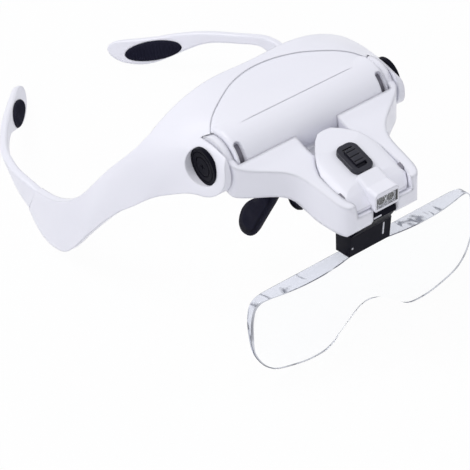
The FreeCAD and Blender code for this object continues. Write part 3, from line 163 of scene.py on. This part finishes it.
def painted_reflection_edge(name, dark, pale, scale, start, end):
    """Rim of the clear moulding, painted with reflections: pale, with streaks and a few dark glints."""
    material, tree, bsdf = new_material(name)
    coords = tree.nodes.new("ShaderNodeTexCoord")
    stretch = node(tree, "ShaderNodeMapping", Scale=REFLECTION_STRETCH)
    tree.links.new(coords.outputs["Object"], stretch.inputs["Vector"])
    reflection_streak = node(tree, "ShaderNodeTexNoise", Scale=scale, Detail=2.5, Roughness=0.45,
                  Distortion=1.6)
    tree.links.new(stretch.outputs["Vector"], reflection_streak.inputs["Vector"])
    colour = ramp(tree, reflection_streak.outputs["Fac"], dark, pale, start, end)
    tree.links.new(colour.outputs["Color"], bsdf.inputs["Base Color"])
    tree.links.new(spread(tree, reflection_streak.outputs["Fac"], *EDGE_ROUGH), bsdf.inputs["Roughness"])
    bsdf.inputs["Transmission Weight"].default_value = EDGE_CLEAR
    bsdf.inputs["IOR"].default_value = THIN_IOR
    return material


WHITE_LOW = (0.87, 0.87, 0.935, 1)
WHITE_HIGH = (0.895, 0.895, 0.955, 1)
white = plastic("white_moulding", WHITE_LOW, WHITE_HIGH, rough=(0.28, 0.40), grain=1900.0,
                depth=0.02 * MM, edge=0.9 * MM)
soft_white = plastic("soft_white_moulding", WHITE_LOW, WHITE_HIGH, rough=(0.28, 0.40), grain=1900.0,
                     depth=0.02 * MM, edge=2.2 * MM)
# Dark grey that paints the shade in gaps and slots of the white moulding
recess_painted_shade = plastic("recess_painted_shade", (0.20, 0.19, 0.22, 1), (0.28, 0.27, 0.31, 1),
                      rough=(0.5, 0.6), grain=1900.0, depth=0.02 * MM, edge=0.2 * MM, specular=0.2)
black = plastic("black_moulding", (0.004, 0.004, 0.008, 1), (0.007, 0.007, 0.014, 1),
                rough=(0.36, 0.52), grain=2300.0, depth=0.04 * MM, edge=0.3 * MM, specular=0.04)
gloss_black = plastic("gloss_black_moulding", (0.008, 0.008, 0.016, 1), (0.013, 0.013, 0.024, 1),
                      rough=(0.07, 0.16), grain=2300.0, depth=0.01 * MM, edge=0.5 * MM, specular=0.4)
rubber = plastic("black_rubber", (0.008, 0.008, 0.018, 1), (0.013, 0.013, 0.026, 1),
                 rough=(0.55, 0.75), grain=1500.0, depth=0.08 * MM, edge=0.4 * MM, specular=0.06)
nylon = plastic("nylon", (0.78, 0.77, 0.72, 1), (0.85, 0.84, 0.79, 1),
                rough=(0.4, 0.5), grain=1500.0, depth=0.02 * MM, edge=0.1 * MM)
laminate = plastic("laminate", (0.02, 0.16, 0.07, 1), (0.03, 0.22, 0.10, 1),
                   rough=(0.3, 0.4), grain=900.0, depth=0.02 * MM, edge=0.1 * MM)
steel = metal("steel", (0.55, 0.55, 0.57, 1), (0.66, 0.66, 0.68, 1), rough=(0.22, 0.35))
brass = metal("brass", (0.70, 0.52, 0.22, 1), (0.82, 0.64, 0.32, 1), rough=(0.2, 0.3))
chrome = metal("bright_metal", (0.84, 0.84, 0.86, 1), (0.90, 0.90, 0.92, 1), rough=(0.04, 0.08))
lens_clear = clear("clear_acrylic", (0.985, 0.99, 1.0, 1), (0.995, 1.0, 1.0, 1), roughness=0.004,
                   ior=THIN_IOR)
window_clear = clear("clear_window", (0.93, 0.95, 0.99, 1), (0.97, 0.98, 1.0, 1), roughness=0.01)
# Lens rim: painted reflections, pale bluish streaks with a few dark glints
lens_rim_reflection = painted_reflection_edge("clear_acrylic_edge_reflection", (0.10, 0.11, 0.15, 1), (0.70, 0.73, 0.84, 1),
                         scale=110.0, start=0.34, end=0.42)
# Corners of the lens rim: painted reflection, dark lines along the front and back edges
lens_corner_reflection = painted_reflection_edge("clear_acrylic_corner_reflection", (0.04, 0.04, 0.06, 1), (0.52, 0.54, 0.62, 1),
                         scale=60.0, start=0.42, end=0.60)
lamp_clear = clear("clear_epoxy", (0.95, 0.94, 0.85, 1), (1.0, 0.99, 0.92, 1), roughness=0.05)

SLOT_MATERIALS = {
    "white_plastic": white,
    "black_plastic": black,
    "black_rubber": rubber,
    "clear_lens": lens_clear,
    "pin_steel": steel,
    "screw_steel": steel,
    "cell_steel": steel,
    "contact_brass": brass,
    "board_green": laminate,
    "washer_nylon": nylon,
    "lamp_epoxy": lamp_clear,
    "reflector_chrome": chrome,
}

for part in frame["record"]["subparts"]:
    obj = frame["nodes"][part["node"]]
    obj.data.materials.clear()
    obj.data.materials.append(SLOT_MATERIALS[part["material_slot"]])
for name in ("switch_bezel", "switch_slider"):
    frame["nodes"][name].data.materials[0] = gloss_black
frame["nodes"]["yoke"].data.materials[0] = soft_white
frame["nodes"]["led_window"].data.materials[0] = window_clear


def new_piece(name, points, faces, material, slot, body):
    """Smooth mesh piece that rides on a body."""
    mesh = bpy.data.meshes.new(name)
    mesh.from_pydata([tuple(point) for point in points], [], faces)
    made = bmesh.new()
    made.from_mesh(mesh)
    bmesh.ops.recalc_face_normals(made, faces=made.faces)
    made.to_mesh(mesh)
    made.free()
    for polygon in mesh.polygons:
        polygon.use_smooth = True
    mesh.materials.append(material)
    obj = bpy.data.objects.new(name, mesh)
    bpy.context.scene.collection.objects.link(obj)
    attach(obj, body)
    return obj


def ring_faces(rings, count):
    """Quads between following rings of count points each."""
    faces = []
    for ring in range(rings - 1):
        for i in range(count):
            j = (i + 1) % count
            low = ring * count
            high = low + count
            faces.append((low + i, low + j, high + j, high + i))
    return faces


def grid_faces(columns, rows):
    """Upper and lower sheets of a grid, joined round their rim."""
    sheet = (columns + 1) * (rows + 1)
    faces = []
    for base in (0, sheet):
        for i in range(columns):
            for j in range(rows):
                a = base + i * (rows + 1) + j
                faces.append((a, a + 1, a + rows + 2, a + rows + 1))
    rim = [i * (rows + 1) for i in range(columns + 1)]
    rim += [columns * (rows + 1) + j for j in range(1, rows + 1)]
    rim += [i * (rows + 1) + rows for i in range(columns - 1, -1, -1)]
    rim += [j for j in range(rows - 1, 0, -1)]
    for a, b in zip(rim, rim[1:] + rim[:1]):
        faces.append((a, b, b + sheet, a + sheet))
    return faces


def smooth_ring(points, steps):
    """Closed smooth curve through the points, with steps points for each of them."""
    ring = []
    count = len(points)
    for i in range(count):
        a, b, c, d = [Vector(points[(i + k) % count]) for k in (-1, 0, 1, 2)]
        for step in range(steps):
            t = step / steps
            ring.append(b + (c - a) * (t / 2) + (2 * a - 5 * b + 4 * c - d) * (t * t / 2)
                        + (3 * b - 3 * c + d - a) * (t ** 3 / 2))
    return ring


# Nose pads, with the leaf's outline in shares of their width and length
PAD_LENGTH = 38.0 * MM
PAD_WIDTH = 11.1 * MM
PAD_AHEAD = 3.0 * MM
PAD_THICK = 3.4 * MM
PAD_ROUND = 1.3 * MM
PAD_CROWN = 0.35 * MM
PAD_PLACE = Vector((9.8, -48.9, 30.0)) * MM
PAD_TILT = math.radians(25.6)
PAD_LEAN = math.radians(-5.0)
LEAF_SHARES = [(0.33, 0.516), (0.054, 0.468), (0, 0.342), (0, 0.170), (0, 0), (0, -0.150),
               (0, -0.276), (0.054, -0.363), (0.199, -0.432), (0.416, -0.476), (0.597, -0.482),
               (0.778, -0.445), (0.914, -0.368), (0.995, -0.250), (1.0, -0.158), (0.941, -0.042),
               (0.733, 0.121), (0.579, 0.263), (0.534, 0.408), (0.460, 0.489)]
LEAF_CENTRE_SHARES = (0.5, -0.05)
LEAF_STEPS = 4
FACE_SHARES = (0.02, 0.3, 0.6, 0.82, 0.94)
RIM_STEPS = 12
RIM_POWER = 2.5


def nose_pad(side):
    """Leaf-shaped rubber pad with a rounded rim and gently crowned faces."""
    outline = smooth_ring([(y * PAD_WIDTH, z * PAD_LENGTH) for y, z in LEAF_SHARES], LEAF_STEPS)
    centre = Vector((LEAF_CENTRE_SHARES[0] * PAD_WIDTH, LEAF_CENTRE_SHARES[1] * PAD_LENGTH))
    rows = [(0.0, share, PAD_CROWN * (1 - share ** 2)) for share in FACE_SHARES]
    for step in range(RIM_STEPS + 1):
        across = -1 + 2 * step / RIM_STEPS
        drawn = PAD_ROUND * (1 - (1 - abs(across) ** RIM_POWER) ** (1 / RIM_POWER))
        rows.append(((across + 1) / 2 * PAD_THICK, 1 - drawn / (PAD_WIDTH / 2), 0.0))
    rows += [(PAD_THICK, share, PAD_CROWN * (1 - share ** 2)) for share in reversed(FACE_SHARES[:-1])]
    place = (Matrix.Translation(PAD_PLACE) @ Matrix.Rotation(PAD_TILT, 4, "X")
             @ Matrix.Rotation(PAD_LEAN, 4, "Y"))
    points = []
    for depth, share, crown in rows:
        for point in outline:
            flat = centre + (point - centre) * share
            local = Vector((depth + crown, flat.x - PAD_AHEAD, flat.y))
            world = place @ local
            points.append((side * world.x, world.y, world.z))
    count = len(outline)
    faces = ring_faces(len(rows), count)
    faces.append(tuple(range(count)))
    faces.append(tuple(range(len(points) - count, len(points))))
    return points, faces


for side, name in SIDES:
    pad = new_piece(name + "_nose_pad_skin", *nose_pad(side), rubber, "black_rubber", "frame")
    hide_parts(name + "_nose_pad")

# Temple pads: ovals that lie on the inner face of each tip, given for the left one
OVAL_LENGTH = 28.0 * MM
OVAL_HEIGHT = 8.8 * MM
OVAL_SUNK = 1.0 * MM
OVAL_PROUD = 1.0 * MM
OVAL_RIB = 0.16 * MM
OVAL_RIB_PITCH = 1.6 * MM
OVAL_PLACE = Vector((39.05, 96.481, 7.322)) * MM
OVAL_ALONG = Vector((0.67957, -0.68251, 0.26899))
OVAL_ACROSS = Vector((0.05719, 0.41484, 0.90810))
OVAL_NORMAL = OVAL_ALONG.cross(OVAL_ACROSS)
OVAL_COLUMNS = 220
OVAL_ROWS = 18
OVAL_RIM = 0.985
OVAL_POWER = 6
OVAL_FADE = 6               # the ribs fade out over the last sixth of the way to the rim
OVAL_SEARCH = 20 * MM
OVAL_LIFT = 0.02 * MM


def temple_pad(side, tip):
    """Oval pad that lies in the recess of a temple tip, with fine ribs across it."""
    seat = BVHTree.FromPolygons([vertex.co for vertex in tip.data.vertices],
                                [polygon.vertices for polygon in tip.data.polygons])
    flip = Vector((side, 1, 1))
    normal = OVAL_NORMAL * flip
    points = []
    for level in (0, 1):
        for i in range(OVAL_COLUMNS + 1):
            u = OVAL_RIM * math.cos(math.pi * (1 - i / OVAL_COLUMNS))
            for j in range(OVAL_ROWS + 1):
                w = math.sqrt(1 - u * u) * math.cos(math.pi * j / OVAL_ROWS)
                flat = OVAL_PLACE + OVAL_ALONG * (u * OVAL_LENGTH / 2)
                flat = (flat + OVAL_ACROSS * (w * OVAL_HEIGHT / 2)) * flip
                hit = seat.ray_cast(flat + normal * OVAL_SEARCH, -normal)[0]
                out = math.sqrt(min(1.0, u * u + w * w))
                dome = (1 - out ** OVAL_POWER) ** 0.5
                rib = math.cos(math.pi * u * OVAL_LENGTH / OVAL_RIB_PITCH)
                height = OVAL_SUNK + OVAL_PROUD * dome + OVAL_RIB * rib * min(1.0, OVAL_FADE * (1 - out))
                points.append(hit + normal * (height if level else OVAL_LIFT))
    return points, grid_faces(OVAL_COLUMNS, OVAL_ROWS)


for side, name in SIDES:
    tip = frame["nodes"][name + "_temple_tip"]
    pad = new_piece(name + "_temple_pad_skin", *temple_pad(side, tip), rubber, "black_rubber",
                    name + "_tip")
    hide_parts(name + "_temple_pad")


# Lens, with its outline in shares of its half width and height
LENS_HALF = 55.8 * MM
LENS_HEIGHT = 40.45 * MM
LENS_THICK = 9.0 * MM
LENS_RIM = 1.5 * MM
LENS_RADIUS = 72.0 * MM
LENS_CENTRE = 28.0 * MM
LENS_CENTRE_DROP = 6.0 * MM
LENS_BLEND = 5.0 * MM       # how far from the middle the two domes run together
LENS_CORNER = 0.45 * MM
LENS_PLACE = Vector((0, -95.7, 40.0)) * MM
LENS_TILT = math.radians(-8.7)
LENS_FOOT_SHARE = -0.685
LENS_CENTRE_SHARE = -0.35
LENS_STEPS = 5
FACE_RINGS = [0.01, 0.1, 0.2, 0.3, 0.4, 0.5, 0.6, 0.7, 0.8, 0.87, 0.93, 0.97, 0.988]
BAND_RINGS = [0.0, 0.15, 0.4, 0.7, 0.9, 1.0]
LENS_SHARES = [(0.2, 0), (0.4, 0), (0.6, 0), (0.74, 0), (0.80, 0), (0.860, -0.002), (0.919, -0.018),
               (0.958, -0.062), (0.980, -0.130), (0.997, -0.250), (1.0, -0.440), (0.991, -0.575),
               (0.962, -0.690), (0.914, -0.796), (0.848, -0.878), (0.785, -0.920), (0.699, -0.955),
               (0.582, -0.990), (0.480, -1.0), (0.389, -0.990), (0.323, -0.950), (0.280, -0.895),
               (0.194, -0.800), (0.100, -0.712)]


def lens_depth(x, z):
    """Thickness of the lens: two domes that run together, thin at the lower edge."""
    across = math.sqrt(x * x + LENS_BLEND ** 2) - LENS_CENTRE
    off = across ** 2 + (z + LENS_CENTRE_DROP) ** 2
    dome = math.sqrt(LENS_RADIUS ** 2 - off) - LENS_RADIUS + LENS_THICK
    return max(dome, LENS_RIM)


def lens_mesh():
    """Flat back, rim and domed front as rings, with the faces of the rim and of its corners."""
    half = [(x * LENS_HALF, z * LENS_HEIGHT) for x, z in LENS_SHARES]
    foot = (0, LENS_FOOT_SHARE * LENS_HEIGHT)
    outline = smooth_ring([(0, 0)] + half + [foot] + [(-x, z) for x, z in reversed(half)], LENS_STEPS)
    centre = Vector((0, LENS_CENTRE_SHARE * LENS_HEIGHT))
    rows = [(share, None) for share in FACE_RINGS]
    rows += [(1.0, depth) for depth in BAND_RINGS]
    rows += [(share, 1.0) for share in reversed(FACE_RINGS)]
    place = Matrix.Translation(LENS_PLACE) @ Matrix.Rotation(LENS_TILT, 4, "X")
    points = []
    for share, depth in rows:
        for point in outline:
            flat = centre + (point - centre) * share
            thick = lens_depth(flat.x, flat.y)
            corner = min(LENS_CORNER, thick / 3)
            if depth is None:
                level = 0.0
            elif share < 1.0:
                level = thick
            else:
                level = corner + (thick - 2 * corner) * depth
            points.append(place @ Vector((flat.x, -level, flat.y)))
    count = len(outline)
    faces = ring_faces(len(rows), count)
    faces.append(tuple(range(count)))
    faces.append(tuple(range(len(points) - count, len(points))))
    first = len(FACE_RINGS) * count
    last = first + (len(BAND_RINGS) - 1) * count
    corners = [first - count + i for i in range(count)] + [last + i for i in range(count)]
    return points, faces, range(first, last), corners


lens_points, lens_faces, lens_band, lens_corners = lens_mesh()
lens = new_piece("lens_moulding", lens_points, lens_faces, lens_clear, "clear_lens", "lens")
# The rim band and its corners take the materials with painted reflections
lens.data.materials.append(lens_rim_reflection)
lens.data.materials.append(lens_corner_reflection)
for index in lens_band:
    lens.data.polygons[index].material_index = 1
for index in lens_corners:
    lens.data.polygons[index].material_index = 2
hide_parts("binocular_lens")


BAR_SEGMENTS = 3


def rounded_bar(name, centre, size, turn, edge, material, slot, body):
    """Small bar with rounded edges, turned about its own x axis."""
    made = bmesh.new()
    bmesh.ops.create_cube(made, size=1.0)
    bmesh.ops.scale(made, vec=size, verts=made.verts)
    bmesh.ops.bevel(made, geom=made.edges[:], offset=edge, segments=BAR_SEGMENTS, affect="EDGES",
                    profile=0.5)
    place = Matrix.Translation(centre) @ Matrix.Rotation(turn, 4, "X")
    points = [place @ vertex.co for vertex in made.verts]
    faces = [tuple(vertex.index for vertex in face.verts) for face in made.faces]
    made.free()
    return new_piece(name, points, faces, material, slot, body)


# Clear tab that stands up from the lens into its clip
TAB_SIZE = Vector((15.4, 2.8, 9.4)) * MM
TAB_UP = 4.8 * MM
TAB_AHEAD = 3.1 * MM
TAB_EDGE = 0.5 * MM
tab_centre = LENS_PLACE + Vector((0, -TAB_AHEAD - math.sin(LENS_TILT) * TAB_UP, TAB_UP))
rounded_bar("lens_tab", tab_centre, TAB_SIZE, LENS_TILT, TAB_EDGE, lens_clear, "clear_lens", "lens")

# Pale marks on the clip, the ledge one a painted highlight on the edge of the step: name, centre and size in
# millimetres, turn, edge in millimetres
CLIP_TURN = math.radians(5.6)
CLIP_MARKS = [("clip_slit", (6.2, -103.55, 48.2), (0.55, 0.5, 6.2), CLIP_TURN, 0.12),
              ("clip_dot", (-8.72, -103.15, 45.53), (0.8, 0.4, 0.8), CLIP_TURN, 0.15),
              # painted highlight along the edge of the ledge
              ("clip_ledge_line", (-3.4, -111.65, 63.9), (3.8, 0.4, 0.6), 0.0, 0.12)]
for name, centre, size, turn, edge in CLIP_MARKS:
    rounded_bar(name, Vector(centre) * MM, Vector(size) * MM, turn, edge * MM, white,
                "white_plastic", "clip")

# Catches of the light head, in the gap on each side of it, coloured with painted shade
CATCH_PLACE = Vector((14.5, -103.9, 74.45)) * MM
CATCH_SIZE = Vector((1.4, 3.0, 1.3)) * MM
CATCH_TURN = math.radians(13.0)
CATCH_EDGE = 0.25 * MM
for side, name in SIDES:
    rounded_bar(name + "_head_catch", CATCH_PLACE * Vector((side, 1, 1)), CATCH_SIZE, CATCH_TURN,
                CATCH_EDGE, recess_painted_shade, "white_plastic", "light_head")

# Painted shade at the bottom of the slots in the drum, whose axis is the one that the yoke tilts about
SHADE_STEPS = 24
SHADE_START = 124
SHADE_TURN = 71
SHADE_LOW = 9.42 * MM
SHADE_HIGH = 9.8 * MM
SHADE_INNER = 32.9 * MM
SHADE_OUTER = 35.7 * MM
SHADE_SECTION = ((SHADE_LOW, SHADE_INNER), (SHADE_HIGH, SHADE_INNER),
                  (SHADE_HIGH, SHADE_OUTER), (SHADE_LOW, SHADE_OUTER))
drum_axis = next(joint["pos_m"] for joint in frame["joints"] if joint["name"] == "yoke_tilt")


def slot_painted_shade(side):
    """Band of painted shade at the bottom of the blind slot near an end of the drum."""
    points = []
    for i in range(SHADE_STEPS + 1):
        angle = math.radians(SHADE_START + SHADE_TURN * i / SHADE_STEPS)
        for radius, x in SHADE_SECTION:
            points.append(Vector((side * x, drum_axis[1] + radius * math.cos(angle),
                                  drum_axis[2] + radius * math.sin(angle))))
    count = len(SHADE_SECTION)
    faces = ring_faces(SHADE_STEPS + 1, count)
    faces.append(tuple(range(count)))
    faces.append(tuple(range(len(points) - count, len(points))))
    return points, faces


for side, name in SIDES:
    shade_band = new_piece(name + "_slot_painted_shade", *slot_painted_shade(side), recess_painted_shade, "white_plastic", "frame")
    for polygon in shade_band.data.polygons:
        polygon.use_smooth = False


# Camera, as solved from the photograph
SENSOR = 36.0
FOCAL_PIXELS = 2300.0
FRAME_PIXELS = 470.0
CAMERA_RIGHT = Vector((0.79664, -0.60319, -0.03901))
CAMERA_UP = Vector((0.41404, 0.49753, 0.76226))
CAMERA_BACK = Vector((-0.44038, -0.62340, 0.64610))
CAMERA_PLACE = Vector((-0.42752, -0.619146, 0.616659))

# Lamps: name, place, size, power, colour
LAMP_TARGET = (0, 0, 0.04)
LAMPS = [("key", (-0.55, 0.5, 1.35), 0.9, 9.6, (1.0, 0.99, 1.0)),
         ("fill", (-1.25, -0.6, 0.85), 1.0, 3.0, (0.97, 0.98, 1.0)),
         ("side", (1.3, -0.6, 0.8), 0.9, 2.8, (0.97, 0.98, 1.0))]
WORLD_COLOUR = (0.95, 0.96, 1.0, 1)
WORLD_STRENGTH = 0.52
FLOOR_HALF = 4.0
FLOOR_COLOUR = (0.86, 0.86, 0.88, 1)
FLOOR_ROUGH = 0.9
FLOOR_GLOW = 0.96


def camera_from_photo():
    """Camera at the viewpoint solved from the photograph."""
    camera = bpy.data.cameras.new("camera")
    camera.sensor_width = SENSOR
    camera.lens = SENSOR * FOCAL_PIXELS / FRAME_PIXELS
    camera.clip_end = 50.0
    obj = bpy.data.objects.new("camera", camera)
    bpy.context.scene.collection.objects.link(obj)
    columns = (CAMERA_RIGHT, CAMERA_UP, CAMERA_BACK, CAMERA_PLACE)
    obj.matrix_world = Matrix([[column[i] for column in columns] for i in range(3)] + [(0, 0, 0, 1)])
    bpy.context.scene.camera = obj


def area_light(name, place, size, power, colour):
    light = bpy.data.lights.new(name, "AREA")
    light.shape = "DISK"
    light.size = size
    light.energy = power
    light.color = colour
    obj = bpy.data.objects.new(name, light)
    bpy.context.scene.collection.objects.link(obj)
    obj.location = place
    obj.rotation_euler = (Vector(place) - Vector(LAMP_TARGET)).to_track_quat("Z", "Y").to_euler()


def studio():
    """Soft lamps and a plain pale world that is white to the camera."""
    for lamp in LAMPS:
        area_light(*lamp)
    world = bpy.data.worlds.new("studio")
    bpy.context.scene.world = world
    world.use_nodes = True
    tree = world.node_tree
    background = tree.nodes["Background"]
    background.inputs["Color"].default_value = WORLD_COLOUR
    lift = node(tree, "ShaderNodeMapRange", To_Min=WORLD_STRENGTH, To_Max=1.0)
    tree.links.new(seen_ray(tree), lift.inputs["Value"])
    tree.links.new(lift.outputs["Result"], background.inputs["Strength"])


def seen_ray(tree):
    """1 for what the camera sees directly, mirrored or through clear plastic, else 0."""
    path = tree.nodes.new("ShaderNodeLightPath")
    add = tree.nodes.new("ShaderNodeMath")
    add.operation = "MAXIMUM"
    tree.links.new(path.outputs["Is Camera Ray"], add.inputs[0])
    tree.links.new(path.outputs["Is Glossy Ray"], add.inputs[1])
    more = tree.nodes.new("ShaderNodeMath")
    more.operation = "MAXIMUM"
    tree.links.new(add.outputs["Value"], more.inputs[0])
    tree.links.new(path.outputs["Is Transmission Ray"], more.inputs[1])
    return more.outputs["Value"]


def floor():
    """Pale floor that reads white to the camera and keeps a soft shadow."""
    mesh = bpy.data.meshes.new("floor")
    corners = [(x * FLOOR_HALF, y * FLOOR_HALF, 0) for x, y in ((-1, -1), (1, -1), (1, 1), (-1, 1))]
    mesh.from_pydata(corners, [], [(0, 1, 2, 3)])
    obj = bpy.data.objects.new("floor", mesh)
    bpy.context.scene.collection.objects.link(obj)
    material, tree, bsdf = new_material("floor")
    bsdf.inputs["Base Color"].default_value = FLOOR_COLOUR
    bsdf.inputs["Roughness"].default_value = FLOOR_ROUGH
    glow = node(tree, "ShaderNodeEmission", Strength=1.0)
    glow.inputs["Color"].default_value = (1, 1, 1, 1)
    mix = tree.nodes.new("ShaderNodeMixShader")
    share = node(tree, "ShaderNodeMapRange", To_Min=0.0, To_Max=FLOOR_GLOW)
    tree.links.new(seen_ray(tree), share.inputs["Value"])
    tree.links.new(share.outputs["Result"], mix.inputs["Fac"])
    tree.links.new(bsdf.outputs["BSDF"], mix.inputs[1])
    tree.links.new(glow.outputs["Emission"], mix.inputs[2])
    tree.links.new(mix.outputs["Shader"], tree.nodes["Material Output"].inputs["Surface"])
    mesh.materials.append(material)


camera_from_photo()
studio()
floor()
bpy.context.scene.view_settings.view_transform = "Standard"
